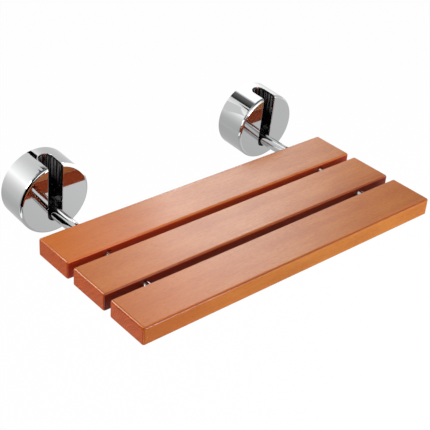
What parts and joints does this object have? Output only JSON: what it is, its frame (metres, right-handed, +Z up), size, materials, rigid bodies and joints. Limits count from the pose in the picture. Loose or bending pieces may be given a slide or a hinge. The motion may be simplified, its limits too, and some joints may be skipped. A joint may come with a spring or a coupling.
{
  "type": "fold down wall seat",
  "caption": "Fold-down wall seat: wooden slats on two round steel arms that hinge in slotted round chrome wall brackets.",
  "frame": {"origin": "on the wall plane, midway between the two brackets, at the height of the housings' centres", "axes": "+X along the wall and the slats, to the right seen from the front; +Y into the wall; +Z up; the seat reaches out to -Y"},
  "size_m": [0.475, 0.3111, 0.1],
  "materials": {
    "wood": "orange-brown stain under satin lacquer",
    "housing_chrome": "polished",
    "arm_chrome": "polished",
    "black_block": "gloss black",
    "plate_steel": "zinc plated",
    "pin_steel": "ground",
    "spring_steel": "blued",
    "dark_screws": "black oxide",
    "slat_screw_steel": "stainless",
    "black_nylon": "matte"
  },
  "bodies": {
    "brackets": {"left_wall_plate": "plate_steel", "right_wall_plate": "plate_steel", "left_pivot_block": "black_block", "right_pivot_block": "black_block", "left_block_screws": "dark_screws", "right_block_screws": "dark_screws", "left_housing": "housing_chrome", "right_housing": "housing_chrome", "left_grub_screws": "dark_screws", "right_grub_screws": "dark_screws", "left_hinge_pin": "pin_steel", "right_hinge_pin": "pin_steel", "left_pin_clip": "spring_steel", "right_pin_clip": "spring_steel", "left_rest_pad": "black_nylon", "right_rest_pad": "black_nylon", "left_spring_washers": "spring_steel", "right_spring_washers": "spring_steel", "left_thrust_washers": "spring_steel", "right_thrust_washers": "spring_steel"},
    "seat": {"left_arm_bushes": "black_nylon", "right_arm_bushes": "black_nylon", "left_arm": "arm_chrome", "right_arm": "arm_chrome", "rear_slat": "wood", "middle_slat": "wood", "front_slat": "wood", "rear_slat_screws": "slat_screw_steel", "middle_slat_screws": "slat_screw_steel", "front_slat_screws": "slat_screw_steel"}
  },
  "joints": [
    {"name": "seat_fold", "type": "hinge", "parent": "brackets", "child": "seat", "pos_m": [0, -0.0245, -0.0215], "axis": [-1, 0, 0], "range_deg": [0, 88.5]}
  ]
}
